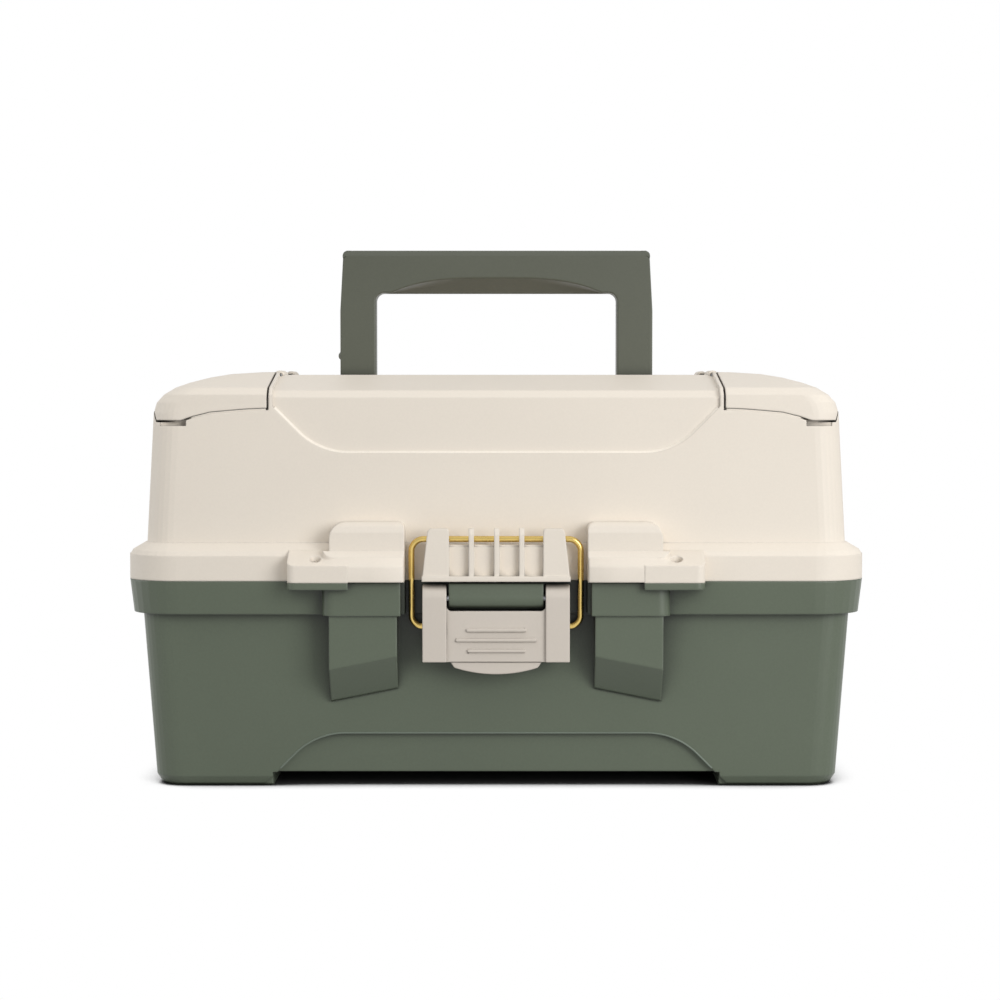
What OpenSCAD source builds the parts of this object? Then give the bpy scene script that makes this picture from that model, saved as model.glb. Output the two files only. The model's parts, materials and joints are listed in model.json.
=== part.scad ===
// Portable tackle box: a moulded base and a hinged lid, two trays that lift out
// on cantilever arms, two doors in the lid top, a folding handle and a wire bail
// latch.
// The front looks along -Y, X runs along the width, and Z = 0 is the ground.

/* [Box] */
// Width over the rims
box_w = 363; // [340:1:400]
// Depth over the rims
box_d = 206; // [196:2:236]
// Height of the parting line between base and lid
base_h = 102.1; // [96:0.1:120]
// Height of the lid above the parting line
lid_h = 101.9; // [99:0.1:120]
// Wall thickness of base and lid
wall = 2.5; // [2:0.1:3]
// Radius of the upright corners of the walls
corner_r = 14; // [10:1:20]
// Radius of the upright corners of the rims
rim_r = 26; // [20:1:32]
// How far the rims stand out from the walls
rim_out = 6; // [5:0.2:8]
// Height of the rim band on the base
rim_h = 16.4; // [12:0.1:18]
// Height of the rim band on the lid
lid_rim_h = 12.3; // [11:0.1:16]
// How much narrower each end wall is at the ground than at the parting line
draft_x = 7.2; // [3:0.1:8]
// How much further in the front and rear walls are at the ground
draft_y = 4.2; // [2:0.2:6]
// How much further in the lid's front and rear walls are at the top
lid_draft = 3; // [1:0.5:5]
// How far the lid's end walls stand in from the base's at their foot
lid_in = 2.8; // [1:0.1:3.4]
// How far in the lid's end walls are at the top
lid_end_draft = 6.3; // [4:0.1:8]

/* [Feet and panels] */
// Height of the four corner feet
foot_h = 7; // [4:0.2:9]
// Gap between the feet, along the width
foot_gap_w = 220; // [180:2:250]
// Gap between the feet, along the depth
foot_gap_d = 104; // [80:2:130]
// Height of the recessed panel low on the front and rear walls
panel_h = 26.3; // [18:0.1:34]
// Depth of that recessed panel
panel_deep = 3; // [1.5:0.5:5]
// Height of the recessed panel on the lid above the parting line
lid_panel_up = 62.1; // [50:0.1:66]
// Depth of the recessed panel on the lid
lid_panel_deep = 1.4; // [1:0.1:2]

/* [Lid top] */
// Width of the flat middle of the lid top
plateau_w = 240; // [220:2:270]
// Depth of the flat middle of the lid top
plateau_d = 90; // [76:2:110]
// Height over which the lid top rounds down to the ends
crown_h = 20.3; // [16:0.1:26]
// Distance from the middle to the inner edge of each door
door_x = 111.5; // [106:0.5:116]
// Gap round the doors
door_gap = 1; // [0.6:0.1:1.6]
// Depth of the wells under the doors, below the door hinge
well_deep = 40.5; // [30:0.5:41]
// Radius of the door hinge pins
door_pin_r = 1.25; // [1:0.05:1.5]

/* [Handle] */
// Width over the handle legs
handle_w = 163; // [150:1:164]
// Height of the handle above its pivot
handle_h = 74.9; // [66:0.1:78]
// Thickness of the handle, front to rear
handle_t = 17; // [14:0.5:18]
// Width of each handle leg
leg_w = 18.5; // [15:0.5:22]
// Height of the grip bar at its ends
grip_h = 22.1; // [17:0.1:24]
// How far the handle pivot lies under the lid top
handle_drop = 11.3; // [10.3:0.1:13]
// Radius of the handle's stub pins
handle_pin_r = 3.5; // [3:0.1:4]

/* [Latch] */
// Half the width of the opening in the rims for the latch
latch_gap = 44.5; // [44.5:0.5:48]
// Width of the latch lever
lever_w = 71.4; // [66:0.2:73]
// Width of the window in the lever
window_w = 48; // [44:1:50]
// Radius of the latch pin
latch_pin_r = 1.5; // [1.2:0.1:1.8]
// Thickness of the bail wire
wire_d = 3; // [2.6:0.1:3.4]
// Distance of the bail's side runs from the middle
bail_x = 41.2; // [40:0.1:42]
// Height of the bail's top run above the parting line
bail_up = 20.5; // [18:0.5:22]
// How far the bail's pivot in the lever lies below the parting line
bail_down = 22.2; // [20:0.1:24]
// Width of the keeper on the lid
keeper_w = 72; // [66:0.5:73]
// Width of each bulge beside the latch
bulge_w = 36.5; // [32:0.5:38]
// Diameter of the padlock holes in the lock tabs
lock_hole_d = 5.5; // [5:0.1:6.5]
// Thickness of the lock tab on the lid
lid_tab_t = 8.2; // [6:0.1:9]
// Thickness of the lock tab on the base
base_tab_t = 3.4; // [3:0.1:6]

/* [Hinge] */
// Distance of each lid hinge from the end of the rim
hinge_in = 66; // [50:1:88]
// Radius of the hinge barrels
barrel_r = 5.5; // [5:0.1:5.6]
// Radius of the hinge pins
hinge_pin_r = 2.5; // [2:0.1:3]
// Length of the lid's barrel on each hinge
lid_barrel = 30; // [24:1:40]
// Length of each of the base's two barrels on each hinge
base_barrel = 14; // [10:1:20]

/* [Trays] */
// Gap between the trays and the front wall
tray_gap = 6; // [5:0.5:12]
// Height of each tray
tray_h = 27; // [22:0.5:27]
// Wall thickness of the trays
tray_wall = 2.2; // [1.8:0.1:2.6]
// Distance from the lid hinge axis to the lower tray's rear pivots
arm_a = 50; // [48:0.5:54]
// Distance from the lower tray's pivots to the upper tray's
arm_b = 34; // [32:0.5:36]
// Distance between front and rear pivots on a tray
pivot_gap = 66; // [60:1:72]
// Slope of the arms with the lid closed, in degrees
arm_slope = 15.4; // [14:0.2:17]
// Width of the arms
arm_w = 10; // [9:0.5:11]
// Thickness of the arms
arm_t = 3; // [2:0.1:3.2]
// Radius of the rivets in the arms
rivet_r = 2.5; // [2:0.1:3]
// Thickness of the removable dividers
divider_t = 1.5; // [1.2:0.1:2]
// Number of divider slots along each tray row
slots = 9; // [5:2:11]

/* [Hidden] */
lower_dividers = [-2, 0, 2, -1, 1];
upper_dividers = [-3, -1, 1, 3, -2, 2];

base_green = "#5c6354";
lid_cream = "#e2d9cd";
latch_beige = "#cbc2b8";
handle_green = "#606256";
tray_grey = "#8d9489";
arm_grey = "#6d7268";
brass = "#b8923a";
steel = "#b9bcc0";

$fn = 64;
ring_steps = 8;
sheet = 0.01;
over = 1;
run = 0.05;
air = 0.4;

lid_top = base_h + lid_h;
wall_w = box_w - 2 * rim_out;
wall_d = box_d - 2 * rim_out - 2 * over;
front_wall = -wall_d / 2;
front_rim = -box_d / 2;
lid_panel_z = base_h + lid_panel_up;
hinge_x = box_w / 2 - hinge_in;

rim_taper = 2;
bottom_edge = 5;
floor_z = foot_h + wall;

// Lid hinge axis, behind the rear rim and below the parting line
hinge_drop = 15.1;
hinge_y = box_d / 2 + barrel_r + 1;
hinge_z = base_h - hinge_drop;

// Pivots of the cantilever arms with the lid closed, as [y, z]
lid_hinge = [hinge_y, hinge_z];
arm_dir = [-cos(arm_slope), sin(arm_slope)];
back_gap = [pivot_gap, 0];
lower_rear = lid_hinge + arm_a * arm_dir;
upper_rear = lower_rear + arm_b * arm_dir;
lid_pivot = upper_rear + arm_b * arm_dir;
base_pivot = lid_hinge - back_gap;
lower_front = lower_rear - back_gap;
upper_front = upper_rear - back_gap;

// Stack of pieces at each end of the trays, outwards from the middle
boss_gap = 0.3;
hinge_reach = lid_barrel / 2 + boss_gap + base_barrel;
arm_out = wall_w / 2 - wall - 11;
arm_in = arm_out - arm_t;
rivet_end = wall_w / 2 - wall - lid_in - 2;
head_t = 1.1;
head_r = rivet_r + 1.5;
boss_r = rivet_r + 3.3;
tray_boss_r = rivet_r + 2.2;
tray_end = arm_in - 4;
tray_w = 2 * tray_end;
tray_rear = lower_rear[0] + 6.2;
tray_front = front_wall + wall + tray_gap;
tray_d = tray_rear - tray_front;
lower_z = base_h + 1.6 - tray_h;
upper_z = base_h + 3.6;

// Latch pivots, as [y, z]
lever_pivot = [front_wall - 8.6, base_h - 8];
lever_round = 6.6;
boss_round = 5.2;
bail_pivot = [front_wall - 3.2, base_h - bail_down];
bail_top = [front_wall - 6.2, base_h + bail_up];
wire_r = wire_d / 2;
lever_front = lever_pivot[0] - lever_round;
keeper_front = front_wall - 14.1;
bulge_front = front_rim - 8;
tab_front = -(hinge_y + barrel_r);
bulge_r = 6;
lock_x = latch_gap + bulge_w + 6.5;
lid_tab_rise = 6.8;

// Door hinge axis, as [x, z]
door_hinge = [door_x - 1.5, lid_top - 1.8];
knuckle_r = door_pin_r + 1.35;
knuckle_y = 34;
knuckle_l = 12;

handle_z = lid_top - handle_drop;

// ---------- shared shapes ----------

// Rectangle with true round corners
module rounded_rect(w, d, r) {
    square([w - 2 * r, d], center = true);
    square([w, d - 2 * r], center = true);
    for (x = [-1, 1], y = [-1, 1])
        translate([x * (w / 2 - r), y * (d / 2 - r)]) circle(r);
}

// Points round a rectangle with round corners, at one height
function ring(w, d, r, z) =
    [for (q = [0:3], i = [0:ring_steps])
        let (a = 90 * (q + i / ring_steps),
             sx = q == 0 || q == 3 ? 1 : -1,
             sy = q < 2 ? 1 : -1)
        [sx * (w / 2 - r) + r * cos(a), sy * (d / 2 - r) + r * sin(a), z]];

// Solid through rings at rising heights
module loft(rings) {
    n = len(rings[0]);
    last = len(rings) - 1;
    polyhedron(
        points = [for (level = rings, at = level) at],
        faces = concat(
            [[for (i = [0:n - 1]) i]],
            [[for (i = [n - 1:-1:0]) last * n + i]],
            [for (k = [0:last - 1], i = [0:n - 1])
                let (a = k * n, j = (i + 1) % n) [a + i, a + n + i, a + n + j]],
            [for (k = [0:last - 1], i = [0:n - 1])
                let (a = k * n, j = (i + 1) % n) [a + i, a + n + j, a + j]]));
}

// Bar along X between two x values, round about [y, z]
module x_bar(r, x0, x1, at) {
    translate([x0, at[0], at[1]]) rotate([0, 90, 0]) cylinder(r = r, h = x1 - x0);
}

// Box from one corner to the other
module block(a, b) {
    translate(a) cube(b - a);
}

// Outline drawn in the X-Z plane, run along Y
module along_y(y0, y1) {
    translate([0, y1, 0]) rotate([90, 0, 0]) linear_extrude(y1 - y0) children();
}

// Outline drawn in the Y-Z plane, run along X
module along_x(x0, x1) {
    translate([x0, 0, 0]) rotate([90, 0, 90]) linear_extrude(x1 - x0) children();
}

// Flat edge at z = 0 with round shoulders that fall away at 45 degrees
module shoulders(flat, fall) {
    r = 35;
    arc = [for (a = [0:5:45]) [flat + r * sin(a), -r * (1 - cos(a))]];
    rest = fall + arc[len(arc) - 1][1];
    side = concat(arc, [[flat + r * sin(45) + rest, -fall]]);
    left = [for (i = [len(side) - 1:-1:0]) [-side[i][0], side[i][1]]];
    polygon(concat(side, left));
}

// ---------- base ----------

function base_w(z) = wall_w - 2 * draft_x * (1 - z / base_h);
function base_d(z) = wall_d - 2 * draft_y * (1 - z / base_h);

module base_form() {
    loft([ring(base_w(0) - 2 * bottom_edge, base_d(0) - 2 * bottom_edge, corner_r - bottom_edge, 0),
          ring(base_w(1) - 3.4, base_d(1) - 3.4, corner_r, 1.4),
          ring(base_w(bottom_edge), base_d(bottom_edge), corner_r, bottom_edge),
          ring(base_w(base_h), base_d(base_h), corner_r, base_h)]);
}

module base_cavity() {
    soft = 4;
    top = base_h + over;
    loft([ring(base_w(floor_z) - 2 * (wall + soft), base_d(floor_z) - 2 * (wall + soft),
               corner_r - wall, floor_z),
          ring(base_w(floor_z) - 2 * wall, base_d(floor_z) - 2 * wall, corner_r - wall, floor_z + soft),
          ring(base_w(top) - 2 * wall, base_d(top) - 2 * wall, corner_r - wall, top)]);
}

// Recessed panel low on the front or rear wall: grow makes the same form larger
module base_panel(grow) {
    lean = atan(draft_y / base_h);
    for (turn = [0, 180])
        rotate([0, 0, turn])
            translate([0, -base_d(0) / 2, 0])
                rotate([lean, 0, 0])
                    along_y(-rim_out, panel_deep + grow)
                        translate([0, panel_h + grow])
                            shoulders(foot_gap_w / 2 - 36, panel_h + grow + over);
}

// Rim of the base, drawn in a little towards its lower edge
module base_rim() {
    loft([ring(box_w - 2 * rim_taper, box_d - 2 * rim_taper, rim_r - rim_taper, base_h - rim_h),
          ring(box_w, box_d, rim_r, base_h)]);
}

// Ring-shaped groove that leaves the rim a downturned lip
module rim_groove() {
    lip = rim_taper + 1.4;
    translate([0, 0, base_h - rim_h - over])
        linear_extrude(rim_h - lip + over)
            difference() {
                rounded_rect(box_w - 2 * lip, box_d - 2 * lip, rim_r - lip);
                rounded_rect(wall_w - 0.4, wall_d - 0.4, corner_r);
            }
}

// Bulge beside the latch, seen from above: round outer front corner
module bulge_plan(w) {
    back = front_wall + 3;
    translate([0, bulge_front]) square([w - bulge_r, back - bulge_front]);
    translate([w - bulge_r, bulge_front + bulge_r]) {
        circle(bulge_r);
        square([bulge_r, back - bulge_front - bulge_r]);
    }
}

// Bulge on the base: a band level with the rim, and a body below it whose
// underside slants down to the wall
module base_bulge() {
    set_in = 1.2;
    body_x = latch_gap + 3.5;
    body_w = latch_gap + bulge_w - body_x;
    front = bulge_front + set_in;
    edge = base_h - 36;
    low = edge - 24;
    slant = 1.15;
    side_drop = 6.5;
    translate([latch_gap + 1.8, 0, base_h - rim_h])
        linear_extrude(rim_h) bulge_plan(bulge_w + 1.8);
    difference() {
        block([body_x, front, low], [body_x + body_w, front_wall + 1, base_h - 1]);
        translate([body_x, front, edge])
            rotate([0, atan(side_drop / body_w), 0])
                along_x(-bulge_w, 2 * bulge_w)
                    polygon([[-bulge_w, slant * bulge_w], [bulge_w, -slant * bulge_w],
                             [bulge_w, -2 * bulge_w], [-bulge_w, -2 * bulge_w]]);
    }
}

// Hollow inside a bulge, open to the inside of the box: steps follow the bulge's front
module bulge_pocket(z0, z1, step) {
    back = front_wall + wall + over;
    front = bulge_front + wall + 0.8;
    along_x(latch_gap + 3.5 + wall, latch_gap + bulge_w - wall)
        polygon([[front, z0], [front, z1 - step], [front + 2.8, z1 - step + 3],
                 [front + 3.4, z1], [back, z1], [back, z0]]);
}

// Lock tab with its upright padlock hole, joined to the bulge beside it
module lock_tab(z, t, slope) {
    tab_end = lock_x + 13.5;
    root = lock_x - 16;
    nose = 4;
    difference() {
        intersection() {
            along_x(root, tab_end)
                polygon([[front_wall, z], [tab_front, z], [tab_front, z + t],
                         [front_rim + 2, z + t + slope], [front_wall, z + t + slope]]);
            linear_extrude(2 * lid_top)
                union() {
                    translate([root, tab_front]) square([tab_end - root - nose, -tab_front]);
                    translate([tab_end - nose, tab_front + nose]) circle(nose);
                    translate([tab_end - nose, tab_front + nose]) square([nose, -tab_front]);
                }
        }
        lock_hole(z);
    }
}

module lock_hole(z) {
    translate([lock_x, tab_front + 6.2, z - 20])
        cylinder(d = lock_hole_d, h = 40);
}

module base_hinge_knuckles() {
    at = lid_barrel / 2 + boss_gap;
    for (s = [-1, 1])
        translate([hinge_x + s * (at + base_barrel / 2), 0, 0]) {
            x_bar(barrel_r, -base_barrel / 2, base_barrel / 2, lid_hinge);
            block([-base_barrel / 2, wall_d / 2 - 1.5, hinge_z - barrel_r],
                  [base_barrel / 2, hinge_y, hinge_z + barrel_r]);
            along_x(-base_barrel / 2, base_barrel / 2)
                polygon([[wall_d / 2 - 1.5, hinge_z - barrel_r - 16],
                         [hinge_y - 4, hinge_z - barrel_r], [wall_d / 2 - 1.5, hinge_z - barrel_r]]);
        }
}

module latch_boss() {
    half = window_w / 2 - 1.7;
    x_bar(boss_round, -half, half, lever_pivot);
    block([-half, lever_pivot[0], lever_pivot[1] - boss_round],
          [half, front_wall + 1, lever_pivot[1] + boss_round]);
}

module sides() {
    children();
    mirror([1, 0, 0]) children();
}

module base_shell() {
    feet_d = base_d(0) / 2 - bottom_edge - wall;
    feet_w = base_w(0) / 2 - bottom_edge - wall;
    color(base_green)
        difference() {
            union() {
                base_form();
                base_rim();
                latch_boss();
                sides() {
                    base_bulge();
                    lock_tab(base_h - base_tab_t, base_tab_t, 0);
                    base_hinge_knuckles();
                }
            }
            difference() {
                union() {
                    base_cavity();
                    sides() bulge_pocket(base_h - 24, base_h + over, 0);
                }
                base_panel(wall);
                sides()
                    x_bar(boss_r, arm_out + boss_gap, wall_w / 2, base_pivot);
            }
            // pockets in the feet, open to the inside
            for (x = [-1, 1], y = [-1, 1])
                translate([x * (feet_w + foot_gap_w / 2 + wall) / 2,
                           y * (feet_d + foot_gap_d / 2 + wall) / 2, wall])
                    linear_extrude(foot_h + over)
                        rounded_rect(feet_w - foot_gap_w / 2 - wall, feet_d - foot_gap_d / 2 - wall - 3, 4);
            // the raised underside between the feet
            block([-foot_gap_w / 2, -box_d, -over], [foot_gap_w / 2, box_d, foot_h]);
            block([-box_w, -foot_gap_d / 2, -over], [box_w, foot_gap_d / 2, foot_h]);
            base_panel(0);
            rim_groove_cut();
            // the opening in the rim for the latch
            difference() {
                block([-latch_gap, -box_d, base_h - rim_h - over],
                      [latch_gap, front_wall - 0.2, base_h + over]);
                latch_boss();
            }
            x_bar(latch_pin_r, -window_w, window_w, lever_pivot);
            sides() {
                lock_hole(base_h);
                x_bar(hinge_pin_r, hinge_x - hinge_reach, hinge_x + hinge_reach, lid_hinge);
                x_bar(rivet_r, arm_in, rivet_end, base_pivot);
            }
        }
}

// The rim groove stops short of the bulges, tabs and hinges
module rim_groove_cut() {
    difference() {
        rim_groove();
        block([-lock_x - 16, -box_d, 0], [lock_x + 16, 0, base_h]);
        sides()
            block([hinge_x - 32, 0, 0], [hinge_x + 32, box_d, base_h]);
    }
}

// ---------- lid ----------

// Insets of the crowned lid top, by height above the crown's foot
crown_levels = [0, 5, 9, 12.5, 15, 17.5, 19.3, crown_h];
function crown_x(h) =
    (wall_w / 2 - lid_end_draft - plateau_w / 2) * (1 - sqrt(1 - pow(min(h / crown_h, 1), 2)));
function crown_y(h) =
    lookup(h, [[0, 0], [crown_h - 11, 0.5], [crown_h - 8, 4],
               [crown_h, wall_d / 2 - lid_draft - plateau_d / 2]]);

// The lid's outer form above its rim, or the same form set in all round
module lid_form(inset) {
    foot = base_h + lid_rim_h - 2;
    loft(concat(
        [ring(wall_w - 2 * (lid_in + inset), wall_d - 2 * inset, corner_r, foot)],
        [for (h = crown_levels)
            ring(wall_w - 2 * (lid_end_draft + inset + crown_x(h)),
                 wall_d - 2 * (lid_draft + inset + crown_y(h)),
                 corner_r, lid_top - crown_h - inset + h)]));
}

module lid_rim() {
    slope = 5.9;
    top = base_h + lid_rim_h;
    translate([0, 0, base_h]) linear_extrude(lid_rim_h) rounded_rect(box_w, box_d, rim_r);
    loft([ring(box_w - 0.4, box_d - 0.4, rim_r - 0.2, top),
          ring(box_w - 3, box_d - 3, rim_r - 2, top + 2),
          ring(wall_w - 2 * lid_in + 1, wall_d + 1, corner_r + 2, top + slope)]);
}

module lid_rim_hollow() {
    translate([0, 0, base_h - over])
        linear_extrude(lid_rim_h + over)
            rounded_rect(box_w - 2 * wall - 0.4, box_d - 2 * wall - 0.4, rim_r - wall);
}

// The middle of the lid between the doors
module lid_middle(grow) {
    top = lid_top + 2 - lid_panel_z;
    flat = door_x - 39.3;
    along_y(-box_d, box_d)
        translate([0, lid_panel_z - grow])
            intersection() {
                mirror([0, 1]) shoulders(flat, top);
                translate([-door_x - grow + 2, 0]) square([2 * (door_x + grow - 2), top]);
            }
}

// Everything on the +X side that the door takes up: gap makes it larger
module door_zone(gap) {
    seam = lid_top - 17.8;
    low = seam - 6;
    end_low = lid_top - 13;
    reach = wall_w / 2 - lid_end_draft + 0.7;
    swing = norm([reach - door_hinge[0], end_low - door_hinge[1]]);
    along_y(-box_d, box_d)
        intersection() {
            polygon([[door_x + 0.8 - gap, seam - gap], [door_x + 11, seam - 0.4 - gap],
                     [door_x + 28.5, seam - 1.9 - gap], [door_x + 37, seam - 4 - gap],
                     [door_x + 43, low - gap], [box_w, low - gap],
                     [box_w, lid_top + 9], [door_x + 0.8 - gap, lid_top + 9]]);
            union() {
                translate(door_hinge) circle(swing + gap / 2, $fn = 180);
                translate([door_x - 9, end_low - gap / 2]) square([box_w, lid_top]);
            }
        }
}

// Well under a door: grow makes the block that its walls are cut from
module door_well(grow) {
    x0 = door_x + 3.5;
    x1 = wall_w / 2 - lid_end_draft - wall - 2.2;
    depth = wall_d - 2 * lid_draft - 4 * wall - 2;
    translate([(x0 + x1) / 2, 0, door_hinge[1] - well_deep - grow])
        linear_extrude(well_deep + 20)
            rounded_rect(x1 - x0 + 2 * grow, depth + 2 * grow, 8 + grow);
}

// Recess that the folded handle lies in
module handle_recess(grow) {
    x = handle_w / 2 + 2.2 + grow;
    floor = handle_z - handle_t / 2 - 1.2 - grow;
    difference() {
        block([-x, -handle_t / 2 - 3.5 - grow, floor], [x, handle_h + 3 + grow, lid_top + 9]);
        along_x(-box_w, box_w)
            translate([handle_h + 3 + grow, floor])
                difference() {
                    translate([-6, -over]) square([6 + over, 6 + over]);
                    translate([-6, 6]) circle(6);
                }
    }
}

// Bulge on the lid: a low front part level with the rim and a taller one behind it
module lid_bulge() {
    top = 28.8;
    back = front_wall + 3;
    upper = bulge_front + 3.2;
    outer_r = 8;
    inner_r = 3.5;
    translate([latch_gap, 0, base_h]) {
        intersection() {
            linear_extrude(top) bulge_plan(bulge_w + 3.6);
            along_x(0, bulge_w + 3.6)
                polygon([[back, 0], [bulge_front, 0], [bulge_front, 12], [upper, 15], [back, 15]]);
        }
        intersection() {
            along_y(bulge_front, back)
                difference() {
                    square([bulge_w, top]);
                    translate([bulge_w - outer_r, top - outer_r]) corner_cut(outer_r);
                    translate([inner_r, top - inner_r]) mirror([1, 0]) corner_cut(inner_r);
                }
            along_x(0, bulge_w)
                polygon([[back, 0], [upper, 0], [upper + 0.6, top - 5], [upper + 1.6, top - 2],
                         [upper + 4.5, top], [back, top + 0.6]]);
        }
    }
}

// What a round corner takes off a square one
module corner_cut(r) {
    difference() {
        square([r + over, r + over]);
        circle(r);
    }
}

module keeper() {
    half = keeper_w / 2;
    low = base_h + 0.3;
    // the wire dips a little as the lever passes its dead point
    ledge = bail_top[1] - wire_r - 1.1;
    step = 1;
    top = base_h + 26;
    panel = bail_top[0] - wire_r - 2.9;
    post_in = 22.8;
    lean = 2.8;
    // the ledge that the bail pulls down on
    block([-half + 3, panel + step, low], [half - 3, front_wall + 3, ledge]);
    block([-half + 3, panel, low], [half - 3, front_wall + 3, ledge - step]);
    // bottom lip
    block([-half, keeper_front - 0.5, low], [half, front_wall + 2, low + 2.6]);
    // posts and ribs in front of the wire
    for (s = [-1, 1])
        along_y(keeper_front, panel + 0.01)
            polygon([[s * half, low], [s * post_in, low], [s * post_in, top - 1],
                     [s * (post_in + 1), top], [s * (half - lean - 1.2), top],
                     [s * (half - lean), top - 1.5]]);
    for (x = [-12, 0.3, 12.4])
        along_x(x - 1.25, x + 1.25)
            polygon([[panel + 0.01, low], [keeper_front, low], [keeper_front, top - 3],
                     [keeper_front + 1, top], [panel + 0.01, top]]);
}

module lid_hinge_ears() {
    half = lid_barrel / 2;
    front = box_d / 2 + air;
    translate([hinge_x, 0, 0]) {
        x_bar(barrel_r, -half, half, lid_hinge);
        block([-half, front, hinge_z], [half, hinge_y, base_h + lid_rim_h - 4]);
        along_x(-half, half)
            polygon([[box_d / 2 - 2, base_h + 0.3], [hinge_y, base_h + 0.3],
                     [hinge_y, base_h + lid_rim_h - 4], [box_d / 2 - 0.5, base_h + lid_rim_h],
                     [box_d / 2 - 2, base_h + lid_rim_h]]);
        along_x(-half, half)
            polygon([[hinge_y - 1, hinge_z + 1], [hinge_y + 3.9, hinge_z + 3.9],
                     [hinge_y, base_h + lid_rim_h - 4], [hinge_y - 1, base_h]]);
    }
}

// Knuckles at the door hinge: list of [start, end] along Y, on one side of the middle
lid_knuckles = [[knuckle_y - knuckle_l / 2 - 5.5, knuckle_y - knuckle_l / 2 - boss_gap],
                [knuckle_y + knuckle_l / 2 + boss_gap, knuckle_y + knuckle_l / 2 + 5.5]];
door_knuckle = [knuckle_y - knuckle_l / 2, knuckle_y + knuckle_l / 2];

module y_bar(r, span, at) {
    translate([at[0], span[1], at[1]]) rotate([90, 0, 0]) cylinder(r = r, h = span[1] - span[0]);
}

module lid_shell() {
    color(lid_cream)
        difference() {
            union() {
                difference() {
                    union() {
                        lid_form(0);
                        lid_rim();
                        sides() {
                            lid_bulge();
                            lock_tab(base_h, lid_tab_t, lid_tab_rise);
                            lid_hinge_ears();
                        }
                    }
                    // the opening in the rim for the latch
                    block([-latch_gap, -box_d, base_h - over],
                          [latch_gap, front_wall - 0.1, base_h + lid_rim_h + 9]);
                    // the hollow inside
                    difference() {
                        union() {
                            lid_form(wall);
                            lid_rim_hollow_clear();
                            sides() bulge_pocket(base_h - over, base_h + 24.5, 14.5);
                        }
                        difference() {
                            lid_middle(wall);
                            lid_form(wall + lid_panel_deep);
                            block([-box_w, -box_d, 0], [box_w, box_d, lid_panel_z - 9]);
                        }
                        // the shelf that the doors close on
                        difference() {
                            sides() door_zone(door_gap + wall);
                            lid_form(2 * wall + 0.6);
                        }
                        sides() door_well(wall - 0.3);
                        handle_recess(wall - 0.3);
                        sides()
                            x_bar(boss_r, arm_out + boss_gap, wall_w / 2 - lid_in - 1, lid_pivot);
                    }
                    // the middle set back from the doors
                    difference() {
                        lid_middle(0);
                        lid_form(lid_panel_deep);
                    }
                    // room for the doors' skins
                    difference() {
                        sides() door_zone(door_gap);
                        lid_form(wall + 0.6);
                    }
                    sides() door_well(0);
                    handle_recess(0);
                    // lifting notches under the doors' outer front corners
                    sides()
                        for (y = [-1, 1])
                            translate([wall_w / 2 - lid_end_draft - 11, y * wall_d / 2, lid_top - 24.6])
                                cube([13, 14, 4], center = true);
                }
                keeper();
                sides()
                    for (side = [-1, 1], span = lid_knuckles)
                        y_bar(knuckle_r, side > 0 ? span : [-span[1], -span[0]], door_hinge);
            }
            // room for the doors' knuckles
            sides()
                for (side = [-1, 1])
                    y_bar(knuckle_r + air, side > 0
                          ? [door_knuckle[0] - boss_gap, door_knuckle[1] + boss_gap]
                          : [-door_knuckle[1] - boss_gap, -door_knuckle[0] + boss_gap], door_hinge);
            sides() {
                y_bar(door_pin_r, [-knuckle_y - 14, knuckle_y + 14], door_hinge);
                lock_hole(base_h);
                x_bar(hinge_pin_r + run, hinge_x - hinge_reach, hinge_x + hinge_reach, lid_hinge);
                x_bar(rivet_r, arm_in, rivet_end, lid_pivot);
                x_bar(handle_pin_r + run, handle_w / 2 - 1, handle_w / 2 + 4.4, [0, handle_z]);
            }
        }
}

// The rim's hollow, closed behind the latch
module lid_rim_hollow_clear() {
    difference() {
        lid_rim_hollow();
        block([-latch_gap - wall, -box_d, 0], [latch_gap + wall, front_wall + wall, lid_top]);
    }
}

// ---------- doors ----------

module door() {
    difference() {
        union() {
            intersection() {
                difference() {
                    lid_form(0);
                    lid_form(wall);
                }
                door_zone(0);
            }
            for (side = [-1, 1]) {
                span = side > 0 ? door_knuckle : [-door_knuckle[1], -door_knuckle[0]];
                y_bar(knuckle_r, span, door_hinge);
                block([door_hinge[0], span[0], lid_top - 2.4], [door_x + 3, span[1], lid_top - 0.4]);
            }
        }
        y_bar(door_pin_r + run, [-knuckle_y - 14, knuckle_y + 14], door_hinge);
        // room for the lid's knuckles
        for (side = [-1, 1], span = lid_knuckles)
            y_bar(knuckle_r + air, side > 0 ? [span[0] - boss_gap, span[1] + boss_gap]
                                            : [-span[1] - boss_gap, -span[0] + boss_gap], door_hinge);
    }
}

module door_pins() {
    color(steel)
        for (side = [-1, 1]) {
            span = [lid_knuckles[0][0], lid_knuckles[1][1]];
            y_bar(door_pin_r, side > 0 ? span : [-span[1], -span[0]], door_hinge);
        }
}

module door_right() {
    color(lid_cream) door();
}

module door_left() {
    mirror([1, 0, 0]) color(lid_cream) door();
}

module door_pins_right() {
    door_pins();
}

module door_pins_left() {
    mirror([1, 0, 0]) door_pins();
}

// ---------- handle ----------

// Outline of the handle seen from the front, pivot at z = 0
module handle_outline() {
    half = handle_w / 2;
    lean = 1.5;
    waist = handle_h * 0.58;
    foot = handle_t / 2;
    polygon([[-half, 0], [half, 0], [half, waist], [half - lean, handle_h - 4],
             [half - lean - 4, handle_h], [-half + lean + 4, handle_h],
             [-half + lean, handle_h - 4], [-half, waist]]);
    for (s = [-1, 1])
        translate([s > 0 ? half - leg_w : -half, -foot]) square([leg_w, foot + 1]);
}

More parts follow.
